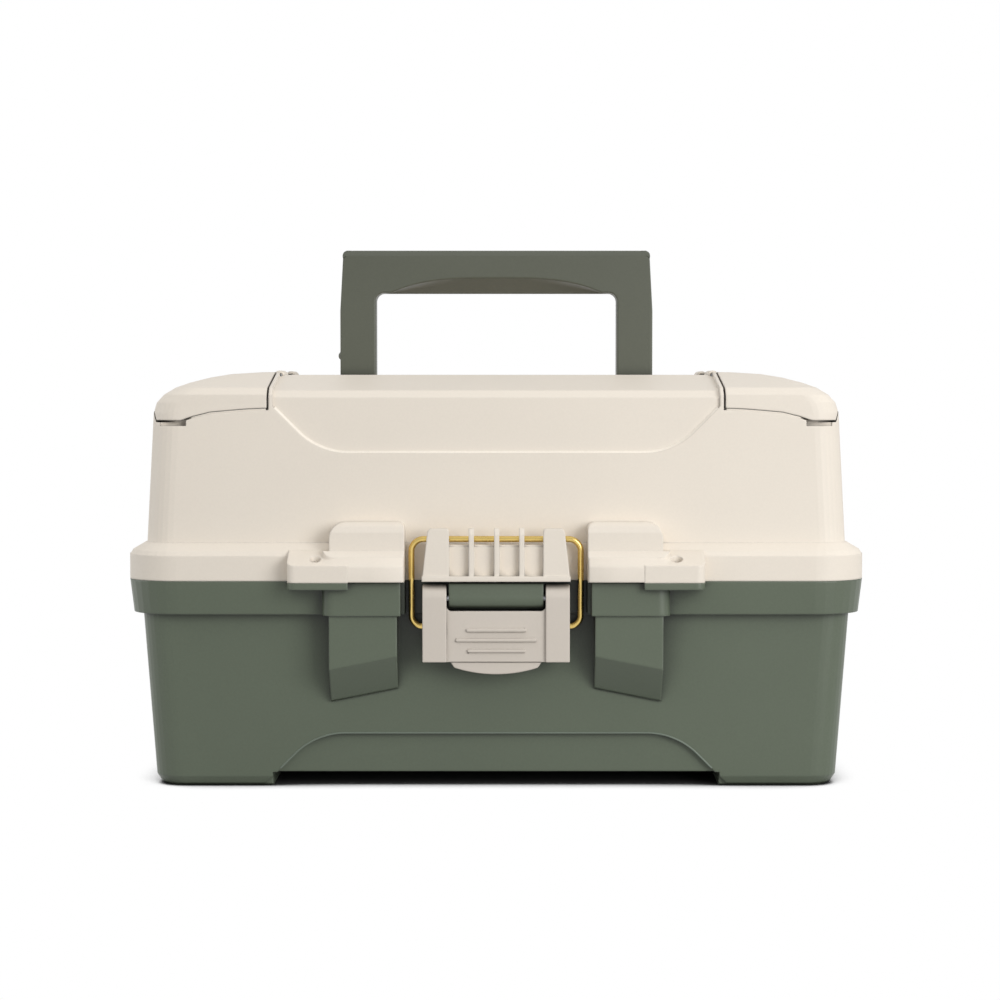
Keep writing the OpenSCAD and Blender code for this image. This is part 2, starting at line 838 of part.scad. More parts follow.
// Hand opening: straight at the rear, arched at the front
module handle_opening() {
    half = handle_w / 2 - leg_w;
    under = handle_h - grip_h;
    arch = 8.2;
    low = 2;
    r = 4.4;
    along_y(-handle_t, handle_t) {
        translate([-half, -handle_t]) square([2 * half, under - r + handle_t]);
        translate([-half + r, 0]) square([2 * (half - r), under]);
        for (s = [-1, 1])
            translate([s * (half - r), under - r]) circle(r);
    }
    hull() {
        translate([0, handle_t / 2, 0])
            rotate([90, 0, 0]) linear_extrude(sheet)
                translate([-half + r, under - 4]) square([2 * (half - r), 4]);
        translate([0, -handle_t / 2 - over, 0])
            rotate([90, 0, 0]) linear_extrude(sheet)
                polygon([for (i = [-10:10])
                    [i / 10 * (half - r), under - low + (low + arch) * (1 - pow(abs(i / 10), 3))]]);
    }
}

module handle() {
    half = handle_w / 2;
    foot = handle_t / 2;
    color(handle_green)
        translate([0, 0, handle_z])
            difference() {
                union() {
                    intersection() {
                        along_y(-foot, foot) handle_outline();
                        along_x(-half, half)
                            union() {
                                circle(foot);
                                polygon([[-foot, 0], [foot, 0], [foot, handle_h - 3],
                                         [foot - 3, handle_h], [-foot + 3, handle_h],
                                         [-foot, handle_h - 3]]);
                            }
                    }
                    for (s = [-1, 1])
                        x_bar(handle_pin_r, s > 0 ? half - 1 : -half - 4, s > 0 ? half + 4 : -half + 1,
                              [0, 0]);
                    // detent bump on the left leg
                    translate([-half + 0.9, 0, 20]) sphere(2.4);
                }
                handle_opening();
            }
}

// ---------- latch ----------

module latch_pin() {
    color(steel)
        x_bar(latch_pin_r, -lever_w / 2 + 1, lever_w / 2 - 1, lever_pivot);
}

module latch_lever() {
    half = lever_w / 2;
    low = bail_pivot[1] - 16.6;
    window_z = lever_pivot[1] - boss_round - 0.8;
    plate = lever_front + 1.6;
    rib_z = [for (drop = [1.1, 5.9, 11.1]) bail_pivot[1] - drop];
    rib_half = [14.5, 19.6, 14];
    tab_half = 22.4;
    tab_low = 6;
    tab_arc = 66;
    fillet = 2.4;
    color(latch_beige)
        difference() {
            union() {
                // side rails, round about the pin
                for (s = [-1, 1])
                    along_x(s > 0 ? window_w / 2 : -half, s > 0 ? half : -window_w / 2)
                        union() {
                            translate(lever_pivot) circle(lever_round);
                            translate(bail_pivot) circle(3.1);
                            polygon([[lever_front, low], [lever_front + 3.6, low],
                                     [bail_pivot[0] + 1.4, bail_pivot[1] - 2.8],
                                     [bail_pivot[0] + 3, bail_pivot[1] + 0.8],
                                     [lever_pivot[0] + 5.6, lever_pivot[1] - 3.5],
                                     [lever_pivot[0], lever_pivot[1]],
                                     [lever_front, lever_pivot[1]]]);
                        }
                // plate below the window
                block([-window_w / 2 - 1, plate, low], [window_w / 2 + 1, plate + 3, window_z]);
                // finger ribs
                for (i = [0:2])
                    translate([0, plate, rib_z[i]]) {
                        rotate([90, 0, 0])
                            linear_extrude(1.1) square([2 * rib_half[i] - 1.6, 1.6], center = true);
                        for (s = [-1, 1])
                            translate([s * (rib_half[i] - 0.8), 0, 0])
                                rotate([90, 0, 0]) cylinder(r = 0.8, h = 1.1);
                    }
                // round corners at the foot of the window
                for (s = [0, 1])
                    mirror([s, 0, 0])
                        along_y(plate, plate + 3)
                            translate([window_w / 2 - fillet, window_z + fillet])
                                difference() {
                                    translate([0, -fillet - 0.5]) square([fillet + 0.5, fillet + 0.5]);
                                    circle(fillet);
                                }
                // pull tab with a curved lower edge
                along_y(plate + 0.4, plate + 3)
                    intersection() {
                        translate([0, low - tab_low + tab_arc]) circle(tab_arc, $fn = 180);
                        translate([0, low])
                            polygon([[-tab_half, 1], [tab_half, 1], [tab_half, 0.4],
                                     [tab_half - 2.4, -3.2], [tab_half - 4, -8], [4 - tab_half, -8],
                                     [2.4 - tab_half, -3.2], [-tab_half, 0.4]]);
                    }
            }
            x_bar(latch_pin_r + run, -half - over, half + over, lever_pivot);
            x_bar(wire_r + run, -half - over, -half + 9.5, bail_pivot);
            x_bar(wire_r + run, half - 9.5, half + over, bail_pivot);
        }
}

module wire(length) {
    cylinder(r = wire_r, h = length, $fn = 32);
}

module wire_corner(r, from) {
    rotate([0, 0, from]) rotate_extrude(angle = 90) translate([r, 0]) circle(wire_r, $fn = 32);
}

// Bail drawn flat in X-Y, its pivot line along X at y = 0, then stood up
module latch_bail() {
    up = bail_top - bail_pivot;
    length = norm(up);
    lean = atan(-up[0] / up[1]);
    top_r = 6;
    low_r = bail_x - lever_w / 2 - boss_gap;
    stub = lever_w / 2 - 9;
    color(brass)
        translate([0, bail_pivot[0], bail_pivot[1]])
            rotate([90 + lean, 0, 0]) {
                translate([-bail_x + top_r, length, 0])
                    rotate([0, 90, 0]) wire(2 * (bail_x - top_r));
                for (s = [0, 1])
                    mirror([s, 0, 0]) {
                        translate([bail_x, low_r, 0])
                            rotate([-90, 0, 0]) wire(length - low_r - top_r);
                        translate([bail_x - top_r, length - top_r, 0]) wire_corner(top_r, 0);
                        translate([bail_x - low_r, low_r, 0]) wire_corner(low_r, 270);
                        translate([stub, 0, 0])
                            rotate([0, 90, 0]) wire(bail_x - low_r - stub);
                    }
            }
}

// ---------- pins and rivets ----------

module hinge_pin() {
    color(steel)
        x_bar(hinge_pin_r, hinge_x - hinge_reach, hinge_x + hinge_reach, lid_hinge);
}

module hinge_pin_right() {
    hinge_pin();
}

module hinge_pin_left() {
    mirror([1, 0, 0]) hinge_pin();
}

// Rivet from a boss outside the arm, head towards the middle
module outer_rivet(at) {
    x_bar(rivet_r, arm_in - boss_gap, rivet_end, at);
    x_bar(head_r, arm_in - boss_gap - head_t, arm_in - boss_gap, at);
}

// Rivet from a tray boss, head outside the arm
module tray_rivet(at) {
    x_bar(rivet_r, tray_end - tray_wall - 3, arm_out + boss_gap, at);
    x_bar(head_r, arm_out + boss_gap, arm_out + boss_gap + head_t, at);
}

module base_rivets() {
    color(steel) sides() outer_rivet(base_pivot);
}

module lid_rivets() {
    color(steel) sides() outer_rivet(lid_pivot);
}

module lower_tray_rivets() {
    color(steel)
        sides() {
            tray_rivet(lower_front);
            tray_rivet(lower_rear);
        }
}

module upper_tray_rivets() {
    color(steel)
        sides() {
            tray_rivet(upper_front);
            tray_rivet(upper_rear);
        }
}

// ---------- arms ----------

// Flat strip through three pivots, with a bead pressed between them
module arm(pivots) {
    first = pivots[0];
    along = [for (at = pivots) norm(at - first)];
    length = along[2];
    slope = atan2(pivots[2][1] - first[1], first[0] - pivots[2][0]);
    bead = 3.2;
    color(arm_grey)
        translate([arm_in, first[0], first[1]])
            rotate([-slope, 0, 0])
                difference() {
                    along_x(0, arm_t)
                        translate([-length / 2, 0])
                            rounded_rect(length + arm_w, arm_w, arm_w / 2 - 0.01);
                    for (a = along)
                        x_bar(rivet_r + run, -over, arm_t + over, [-a, 0]);
                    for (i = [0, 1])
                        block([-over, 7 - along[i + 1], -bead / 2], [0.7, -7 - along[i], bead / 2]);
                }
}

module front_arm_right() {
    arm([base_pivot, lower_front, upper_front]);
}

module front_arm_left() {
    mirror([1, 0, 0]) front_arm_right();
}

module rear_arm_right() {
    arm([lower_rear, upper_rear, lid_pivot]);
}

module rear_arm_left() {
    mirror([1, 0, 0]) rear_arm_right();
}

// ---------- trays ----------

row_gap = tray_wall;
row_d = (tray_d - 2 * tray_wall - row_gap) / 2;
inside_w = tray_w - 2 * tray_wall;
slot_pitch = inside_w / (slots + 1);
slot_deep = 0.7;
tray_mid = (tray_front + tray_rear) / 2;

function row_y(row) = tray_mid + (row - 0.5) * (row_d + row_gap);

module tray(z, pivots) {
    corner = 8;
    color(tray_grey)
        difference() {
            union() {
                translate([0, tray_mid, 0])
                    loft([ring(tray_w - 7, tray_d - 7, corner - 3, z),
                          ring(tray_w - 2.4, tray_d - 2.4, corner - 1, z + 2.4),
                          ring(tray_w - 1, tray_d - 1, corner, z + tray_h)]);
                // rolled rim
                translate([0, tray_mid, z + tray_h - 2.4])
                    linear_extrude(2.4) rounded_rect(tray_w, tray_d, corner);
                // pivot bosses
                sides()
                    for (at = pivots)
                        x_bar(tray_boss_r, tray_end - tray_wall - 3.2, arm_in - boss_gap, at);
            }
            difference() {
                for (row = [0, 1])
                    translate([0, row_y(row), z + tray_wall])
                        linear_extrude(tray_h) rounded_rect(inside_w - 1.6, row_d - 1.6, corner - 3);
                sides()
                    for (at = pivots)
                        x_bar(tray_boss_r, tray_end - tray_wall - 3.2, tray_end, at);
            }
            for (row = [0, 1], i = [1:slots])
                translate([-inside_w / 2 + i * slot_pitch, row_y(row), z + tray_wall + tray_h / 2])
                    cube([divider_t + 0.3, row_d - 1.6 + 2 * slot_deep, tray_h], center = true);
            sides()
                for (at = pivots)
                    x_bar(rivet_r, tray_end - tray_wall - 3, arm_in, at);
        }
}

module lower_tray() {
    tray(lower_z, [lower_front, lower_rear]);
}

module upper_tray() {
    tray(upper_z, [upper_front, upper_rear]);
}

// Removable divider in one slot, with a thumb notch in its top edge
module divider(z, slot, row) {
    w = row_d - 1.6 + 2 * slot_deep - 0.3;
    h = tray_h - tray_wall - 1.5;
    color(lid_cream)
        translate([slot * slot_pitch - divider_t / 2, row_y(row), z + tray_wall])
            difference() {
                along_x(0, divider_t)
                    polygon([[-w / 2, 0], [w / 2, 0], [w / 2, h], [-w / 2, h]]);
                x_bar(row_d / 5, -over, divider_t + over, [0, h + row_d / 9]);
            }
}

module lower_divider(i) {
    divider(lower_z, lower_dividers[i - 1], i > 3 ? 0 : 1);
}

module upper_divider(i) {
    divider(upper_z, upper_dividers[i - 1], i > 4 ? 0 : 1);
}

// ---------- the whole object ----------

base_shell();
hinge_pin_left();
hinge_pin_right();
latch_pin();
base_rivets();
lid_shell();
lid_rivets();
door_left();
door_right();
door_pins_left();
door_pins_right();
handle();
latch_lever();
latch_bail();
front_arm_left();
front_arm_right();
rear_arm_left();
rear_arm_right();
lower_tray();
lower_tray_rivets();
upper_tray();
upper_tray_rivets();
for (i = [1:len(lower_dividers)])
    lower_divider(i);
for (i = [1:len(upper_dividers)])
    upper_divider(i);
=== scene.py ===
import json
import math

import bmesh
import bpy
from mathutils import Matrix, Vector


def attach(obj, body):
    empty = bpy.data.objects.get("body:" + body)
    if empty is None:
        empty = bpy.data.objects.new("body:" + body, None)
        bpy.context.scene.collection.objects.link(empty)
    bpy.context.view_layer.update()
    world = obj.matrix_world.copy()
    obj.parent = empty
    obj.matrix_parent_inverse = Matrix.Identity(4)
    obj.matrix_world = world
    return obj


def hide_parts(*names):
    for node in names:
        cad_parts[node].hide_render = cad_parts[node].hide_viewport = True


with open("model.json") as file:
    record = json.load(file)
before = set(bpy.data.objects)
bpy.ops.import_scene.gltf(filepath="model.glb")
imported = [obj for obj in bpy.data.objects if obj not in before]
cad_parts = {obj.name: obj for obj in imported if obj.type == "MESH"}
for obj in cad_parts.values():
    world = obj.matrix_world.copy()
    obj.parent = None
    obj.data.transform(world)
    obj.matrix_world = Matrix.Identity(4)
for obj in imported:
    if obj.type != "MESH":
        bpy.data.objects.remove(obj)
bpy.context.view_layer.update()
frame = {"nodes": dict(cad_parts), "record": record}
nodes = frame["nodes"]
record = frame["record"]
body_of_node = {node: body for body, members in record["behaviour"]["bodies"].items()
                for node in members}
slot_of_node = {part["node"]: part["material_slot"] for part in record["subparts"]}

MM = 0.001
SIDES = (("left", -1), ("right", 1))


# ---------- colour and shader helpers ----------

def linear(hex_colour):
    """An sRGB hex colour as linear RGBA."""
    out = []
    for i in (1, 3, 5):
        c = int(hex_colour[i:i + 2], 16) / 255
        out.append(c / 12.92 if c <= 0.04045 else ((c + 0.055) / 1.055) ** 2.4)
    return (*out, 1.0)


class Graph:
    """The node tree of a material or world, with short calls for the nodes used here."""

    def __init__(self, owner, output="ShaderNodeOutputMaterial"):
        owner.use_nodes = True
        self.owner = owner
        self.tree = owner.node_tree
        self.tree.nodes.clear()
        self.out = self.add(output)

    def add(self, kind, **props):
        node = self.tree.nodes.new(kind)
        for key, value in props.items():
            setattr(node, key, value)
        return node

    def link(self, a, b):
        self.tree.links.new(a, b)

    def feed(self, socket, value):
        if hasattr(value, "is_output"):
            self.link(value, socket)
        else:
            socket.default_value = value

    def math(self, operation, a, b, clamp=False):
        node = self.add("ShaderNodeMath", operation=operation, use_clamp=clamp)
        self.feed(node.inputs[0], a)
        self.feed(node.inputs[1], b)
        return node.outputs[0]

    def noise(self, coords, scale, detail, rough=0.5):
        """Noise of about scale cells per metre."""
        node = self.add("ShaderNodeTexNoise")
        self.link(coords, node.inputs["Vector"])
        node.inputs["Scale"].default_value = scale
        node.inputs["Detail"].default_value = detail
        node.inputs["Roughness"].default_value = rough
        return node.outputs["Fac"]

    def remap(self, value, low, high, to_low, to_high):
        node = self.add("ShaderNodeMapRange")
        self.feed(node.inputs["Value"], value)
        for key, number in (("From Min", low), ("From Max", high),
                            ("To Min", to_low), ("To Max", to_high)):
            node.inputs[key].default_value = number
        return node.outputs["Result"]

    def mix(self, factor, a, b):
        node = self.add("ShaderNodeMix", data_type="RGBA")
        self.feed(node.inputs[0], factor)
        self.feed(node.inputs[6], a)
        self.feed(node.inputs[7], b)
        return node.outputs[2]

    def mix_shaders(self, factor, a, b):
        node = self.add("ShaderNodeMixShader")
        for socket, source in zip(node.inputs, (factor, a, b)):
            self.link(source, socket)
        return node.outputs[0]

    def openness(self, reach, samples):
        """1 where nothing lies within reach, falling towards 0 in tight corners."""
        node = self.add("ShaderNodeAmbientOcclusion", samples=samples)
        node.inputs["Distance"].default_value = reach
        return node.outputs["AO"]

    def bump(self, height, strength, distance, normal=None):
        node = self.add("ShaderNodeBump")
        self.link(height, node.inputs["Height"])
        node.inputs["Strength"].default_value = strength
        node.inputs["Distance"].default_value = distance
        if normal is not None:
            self.link(normal, node.inputs["Normal"])
        return node.outputs["Normal"]

    def finish(self, shader):
        self.link(shader, self.out.inputs["Surface"])
        return self.owner


def scaled(colour, factor):
    """A linear colour made darker or lighter by a factor."""
    return tuple(min(1, c * factor) for c in colour[:3]) + (1,)


# ---------- materials ----------

PALE_SHARE = 0.35   # how far worn edges go towards white
CLOUD_SHARE = 0.6   # broad clouds against fine flecks in the mottling
SMEAR_SPREAD, GLOSS_SPREAD = (-0.05, 0.06), (-0.06, 0.1)   # added to the roughness
GRAIN, GRAIN_HEIGHT = 0.12, 0.08 * MM
WAVE, WAVE_HEIGHT = 0.15, 0.15 * MM
SCRATCH_HEIGHT, SCRATCH_STRETCH = 0.02 * MM, (1.0, 12.0, 0.25)
CORNER_SAMPLES = 8
# sizes of the noises, in cells per metre
CLOUDS, SMEARS, WAVES, PATCHES, FLECKS, SPARKS = 14, 22, 45, 90, 900, 1500
TARNISHES, GLOSSES, SCRATCHES = 160, 400, 1800
# the part of a noise's range that is spread from end to end
WIDE, NARROW, PATCHY = (0.3, 0.7), (0.35, 0.65), (0.35, 0.7)
RUBBED = (0.02, 0.3)   # how far a rounded edge has turned where rubbing starts and is full


def worn_edges(g, coords, rounded, worn):
    """How far an edge is rubbed pale: 0 on flat faces, up to worn on edges, in patches."""
    flat = g.add("ShaderNodeNewGeometry").outputs["Normal"]
    dot = g.add("ShaderNodeVectorMath", operation="DOT_PRODUCT")
    g.link(rounded, dot.inputs[0])
    g.link(flat, dot.inputs[1])
    turned = g.math("SUBTRACT", 1.0, dot.outputs["Value"])
    rubbed = g.remap(turned, *RUBBED, 0.0, 1.0)
    patchy = g.remap(g.noise(coords, PATCHES, 3), *PATCHY, 0.1, 1.0)
    return g.math("MULTIPLY", g.math("MULTIPLY", rubbed, patchy), worn, clamp=True)


def painted_corner_shade(g, coords, tone, reach, depth, span, foot):
    """A colour darkened in corners, creases and recesses by painted shade, where little open
    space lies around.
    """
    unshaded = g.remap(g.openness(reach * MM, CORNER_SAMPLES), *span, depth, 1.0)
    if foot:
        # no painted shade up to the foot height, so the nearby floor does not darken the feet
        split = g.add("ShaderNodeSeparateXYZ")
        g.link(coords, split.inputs[0])
        height = g.remap(split.outputs["Z"], foot * MM, 2 * foot * MM, 1.0, 0.0)
        unshaded = g.math("MAXIMUM", unshaded, height)
    # the colour scaled down by the painted shade
    corner_shaded = g.add("ShaderNodeVectorMath", operation="SCALE")
    g.link(tone, corner_shaded.inputs[0])
    g.link(unshaded, corner_shaded.inputs["Scale"])
    return corner_shaded.outputs[0]


def moulded(name, colour, rough=0.42, mottle=0.05, worn=0.25, specular=0.45,
            soft=0.5, reach=8.0, depth=0.35, span=(0.25, 0.85), foot=0):
    """Injection-moulded plastic: spark grain, waves in the gloss, pale worn edges, and painted
    shade darkening its corners.

    mottle is how far the colour varies, soft the mould's edge radius in mm, reach how far the
    painted corner shade spreads out of a corner in mm, depth how dark it makes the corner, span
    the openness between full painted shade and none, and foot up to what height in mm there is
    none.
    """
    g = Graph(bpy.data.materials.new(name))
    coords = g.add("ShaderNodeTexCoord").outputs["Object"]
    edge = g.add("ShaderNodeBevel", samples=CORNER_SAMPLES)
    edge.inputs["Radius"].default_value = soft * MM
    rounded = edge.outputs["Normal"]
    base = linear(colour)
    pale = tuple(c + (1 - c) * PALE_SHARE for c in base[:3]) + (1,)
    cloud = g.remap(g.noise(coords, CLOUDS, 3), *WIDE, 0.0, 1.0)
    fleck = g.remap(g.noise(coords, FLECKS, 2), *NARROW, 0.0, 1.0)
    blend = g.math("ADD", g.math("MULTIPLY", cloud, CLOUD_SHARE),
                   g.math("MULTIPLY", fleck, 1 - CLOUD_SHARE))
    tone = g.mix(blend, scaled(base, 1 - mottle), scaled(base, 1 + mottle))
    tone = g.mix(worn_edges(g, coords, rounded, worn), tone, pale)
    # painted shade in corners, creases and recesses
    tone = painted_corner_shade(g, coords, tone, reach, depth, span, foot)

    bsdf = g.add("ShaderNodeBsdfPrincipled")
    g.link(tone, bsdf.inputs["Base Color"])
    smear = g.remap(g.noise(coords, SMEARS, 4, 0.6), *WIDE, *SMEAR_SPREAD)
    g.link(g.math("ADD", smear, rough), bsdf.inputs["Roughness"])
    bsdf.inputs["Specular IOR Level"].default_value = specular
    waves = g.bump(g.noise(coords, WAVES, 1), WAVE, WAVE_HEIGHT, rounded)
    grain = g.bump(g.noise(coords, SPARKS, 3), GRAIN, GRAIN_HEIGHT, waves)
    g.link(grain, bsdf.inputs["Normal"])
    return g.finish(bsdf.outputs[0])


def metal(name, colour, rough, scratch=0.3, tarnish=0.25):
    """Drawn or plated metal: fine scratches, slightly dulled patches."""
    g = Graph(bpy.data.materials.new(name))
    coords = g.add("ShaderNodeTexCoord").outputs["Object"]
    base = linear(colour)
    cloud = g.remap(g.noise(coords, TARNISHES, 4, 0.6), *NARROW, 0.0, 1.0)
    bsdf = g.add("ShaderNodeBsdfPrincipled")
    g.link(g.mix(cloud, base, scaled(base, 1 - tarnish)), bsdf.inputs["Base Color"])
    bsdf.inputs["Metallic"].default_value = 1.0
    low, high = (rough + more for more in GLOSS_SPREAD)
    g.link(g.remap(g.noise(coords, GLOSSES, 3), *WIDE, low, high), bsdf.inputs["Roughness"])
    stretch = g.add("ShaderNodeMapping")
    stretch.inputs["Scale"].default_value = SCRATCH_STRETCH
    g.link(coords, stretch.inputs["Vector"])
    lines = g.noise(stretch.outputs["Vector"], SCRATCHES, 2)
    g.link(g.bump(lines, scratch, SCRATCH_HEIGHT), bsdf.inputs["Normal"])
    return g.finish(bsdf.outputs[0])


# reach, depth, span and foot set how strongly each plastic is darkened by painted shade in its
# corners
FINISH = {
    "base_plastic": moulded("moulded_green", "#5b6454", rough=0.40, soft=1.4, reach=18,
                            depth=0.1, span=(0.3, 0.85), foot=18),
    "lid_plastic": moulded("moulded_cream", "#e7ded1", rough=0.5, specular=0.35, mottle=0.02,
                           worn=0.5, soft=1.2, reach=5, depth=0.3, span=(0.1, 0.55)),
    "latch_plastic": moulded("moulded_beige", "#cfc6bb", rough=0.38, mottle=0.02, worn=0.5),
    "handle_plastic": moulded("moulded_handle", "#54574b"),
    "tray_plastic": moulded("moulded_tray", "#8d9489", rough=0.45),
    "divider_plastic": moulded("moulded_divider", "#ddd5c8", rough=0.35, mottle=0.02),
    "arm_plastic": moulded("moulded_arm", "#6d7268", rough=0.40),
    "brass_wire": metal("brass", "#e2c476", rough=0.2, scratch=0.04, tarnish=0.12),
    "steel": metal("steel", "#b9bcc0", rough=0.3),
}
# thin moulded lines on the front, coloured lighter than the faces beside them: a painted
# highlight for the light they catch
for trimmed, painted_highlight_colour in (("lid_plastic", "#f3ebdf"), ("base_plastic", "#6c766a")):
    FINISH[trimmed + "_trim"] = moulded(trimmed + "_trim", painted_highlight_colour, rough=0.38,
                                        soft=0.15, reach=3, depth=0.8)


# ---------- the CAD solids ----------

SHARP_EDGE = math.radians(28)    # edges that get a bevel
SHARP_SHADE = math.radians(30)   # edges that stay sharp in shading where there is no bevel
SAME_PLANE = math.radians(0.1)
SAME_PLACE = 2e-6
ACROSS = 0.5                     # sine of the least angle at which a next edge limits a bevel
EDGE_SHARE = 2.3                 # a bevel takes at most 1 / this of the next edge
LEAST_SHARE = 0.08               # a bevel narrower than this share is left out
BEVEL_SEGMENTS = 2


def even_normals(ob):
    """Smooth curved faces that leave the flat ones flat."""
    weighted = ob.modifiers.new("normals", "WEIGHTED_NORMAL")
    weighted.keep_sharp = True
    weighted.weight = 50


def bevel_room(edge, width):
    """The widest bevel, up to width, that an edge takes before it meets the next one."""
    along = (edge.verts[1].co - edge.verts[0].co).normalized()
    room = width
    for vert in edge.verts:
        for other in vert.link_edges:
            if other is edge or not set(other.link_faces) & set(edge.link_faces):
                continue
            way = other.verts[0].co - other.verts[1].co
            if not way.length:
                return 0
            cross = along.cross(way / way.length).length
            if cross > ACROSS:
                room = min(room, way.length * cross / EDGE_SHARE)
    return room


def skin(name, width):
    """A copy of a CAD node with its edges rounded as the mould leaves them."""
    mesh = nodes[name].data.copy()
    mesh.name = name + "_skin"
    ob = bpy.data.objects.new(name + "_skin", mesh)
    bpy.context.scene.collection.objects.link(ob)
    bm = bmesh.new()
    bm.from_mesh(mesh)
    bmesh.ops.remove_doubles(bm, verts=bm.verts, dist=SAME_PLACE)
    bmesh.ops.dissolve_degenerate(bm, edges=bm.edges, dist=SAME_PLACE)
    bmesh.ops.dissolve_limit(bm, angle_limit=SAME_PLANE, verts=bm.verts, edges=bm.edges)
    bm.normal_update()
    weights = bm.edges.layers.float
    layer = weights.get("bevel_weight_edge") or weights.new("bevel_weight_edge")
    for edge in bm.edges:
        edge.smooth = True
        if len(edge.link_faces) != 2 or edge.calc_face_angle(0) < SHARP_EDGE:
            continue
        room = bevel_room(edge, width)
        edge.smooth = room >= width * LEAST_SHARE
        edge[layer] = room / width if edge.smooth else 0
    bm.to_mesh(mesh)
    bm.free()
    for polygon in mesh.polygons:
        polygon.use_smooth = True
    if mesh.attributes.get("custom_normal"):
        mesh.attributes.remove(mesh.attributes["custom_normal"])
    bevel = ob.modifiers.new("edges", "BEVEL")
    bevel.limit_method = "WEIGHT"
    bevel.width = width
    bevel.segments = BEVEL_SEGMENTS
    bevel.use_clamp_overlap = False
    bevel.harden_normals = False
    bevel.miter_outer = "MITER_ARC"
    even_normals(ob)
    mesh.materials.clear()
    mesh.materials.append(FINISH[slot_of_node[name]])
    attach(ob, body_of_node[name])
    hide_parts(name)


def plain(name):
    """The CAD node itself, with its own material and smooth curved faces."""
    mesh = nodes[name].data
    mesh.materials.clear()
    mesh.materials.append(FINISH[slot_of_node[name]])
    mesh.shade_smooth()
    mesh.set_sharp_from_angle(angle=SHARP_SHADE)
    even_normals(nodes[name])


# the shells, doors, trays and arms are shown as they are, and their edges rounded in the shader
PLAIN = ("base_shell", "lid_shell", "lower_tray", "upper_tray", "door_left", "door_right",
         "front_arm_left", "front_arm_right", "rear_arm_left", "rear_arm_right")
ROUND = {"handle": 0.9, "latch_lever": 0.5}
ROUND_DIVIDER, ROUND_SMALL = 0.3, 0.25
for node_name in nodes:
    if node_name in PLAIN:
        plain(node_name)
    else:
        usual = ROUND_DIVIDER if "divider" in node_name else ROUND_SMALL
        skin(node_name, ROUND.get(node_name, usual) * MM)


# ---------- mould details on the front, in mm ----------

BEFORE_ALL = -0.2                # a place in front of the object, in m
SEAT = 0.02                      # how far a piece stays under the face that it joins
TRIM_SHADE, PIECE_SHADE = 50, 60


def surface(name, x, z):
    """The front surface of a CAD node at a place seen from the front."""
    start = Vector((x * MM, BEFORE_ALL, z * MM))
    hit, point, _, _ = nodes[name].ray_cast(start, Vector((0, 1, 0)))
    return point.y / MM if hit else None


def piece(name, rings, body, finish, smooth=PIECE_SHADE):
    """A closed piece swept through rings of equally many points, riding on a body."""
    count = len(rings[0])
    verts = [Vector(point) * MM for ring in rings for point in ring]
    faces = []
    for start in range(0, len(verts) - count, count):
        for k in range(count):
            a, b = start + k, start + (k + 1) % count
            faces.append((a, b, b + count, a + count))
    faces.append(tuple(range(count)))
    faces.append(tuple(range(len(verts) - count, len(verts))))
    mesh = bpy.data.meshes.new(name)
    mesh.from_pydata(verts, [], faces)
    bm = bmesh.new()
    bm.from_mesh(mesh)
    bmesh.ops.recalc_face_normals(bm, faces=bm.faces)
    bm.to_mesh(mesh)
    bm.free()
    mesh.shade_smooth()
    mesh.set_sharp_from_angle(angle=math.radians(smooth))
    mesh.materials.append(FINISH[finish])
    ob = bpy.data.objects.new(name, mesh)
    bpy.context.scene.collection.objects.link(ob)
    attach(ob, body)


BEND_RADIUS, BEND_STEP, BEND_STEPS = 35.0, 3, 15   # 15 steps of 3 degrees
LEVEL_PARTS = 6                  # parts of half the level stretch


def shoulder_line(flat, fall, z, up):
    """(x, z, normal x, normal z) along a level line whose ends turn off by 45 degrees.

    flat is half the level stretch, fall how far the ends go, z the line's height,
    and up is 1 where the ends rise and -1 where they drop.
    """
    side = []
    for step in range(BEND_STEPS + 1):
        a = math.radians(step * BEND_STEP)
        side.append((flat + BEND_RADIUS * math.sin(a), BEND_RADIUS * (1 - math.cos(a)),
                     -math.sin(a), math.cos(a)))
    x, h, nx, nz = side[-1]
    for share in (0.25, 0.5, 0.75, 1.0):
        on = (fall - h) * share
        side.append((x + on, h + on, nx, nz))
    line = [(-x, h, -nx, nz) for x, h, nx, nz in reversed(side)]
    line += [(flat * t / LEVEL_PARTS, 0.0, 0.0, 1.0) for t in range(1 - LEVEL_PARTS, LEVEL_PARTS)]
    line += side
    return [(x, z + up * h, nx, up * nz) for x, h, nx, nz in line]


PROUD_SIDE, DEEP_SIDE = 0.5, 1.6   # where the two faces beside an edge are measured


def front_trim(name, node, body, slot, line, section):
    """A thin moulded line along an edge of the front, where one face is set back from another.

    section gives (across, out, deep) for each corner: how far it lies across the edge, how far
    out of a face, and whether that is the deep face.
    """
    rings = []
    for x, z, nx, nz in line:
        proud = surface(node, x - PROUD_SIDE * nx, z - PROUD_SIDE * nz)
        set_back = surface(node, x + DEEP_SIDE * nx, z + DEEP_SIDE * nz)
        if proud is None or set_back is None:
            continue
        rings.append([(x + across * nx, (set_back if deep else proud) - out, z + across * nz)
                      for across, out, deep in section])
    # in the lighter trim material, a painted highlight along the line
    piece(name, rings, body, slot + "_trim", TRIM_SHADE)


# fillet strip where the lid's middle is set back from the wall below it
front_trim("lid_panel_fillet", "lid_shell", "lid", "lid_plastic",
           shoulder_line(flat=72.2, fall=22.0, z=164.2, up=1),
           [(-0.1, 0.0, False), (-0.1, -0.6, False), (1.3, -0.5, True), (1.05, 0.0, True)])
# rounded lip round the foot panel
front_trim("base_arch_lip", "base_shell", "base", "base_plastic",
           shoulder_line(flat=74.0, fall=17.5, z=26.3, up=-1),
           [(-0.75, -0.5, False), (-0.75, 0.02, False), (-0.45, 0.28, False),
            (-0.1, 0.3, False), (0.15, 0.1, False), (0.15, -0.5, False)])

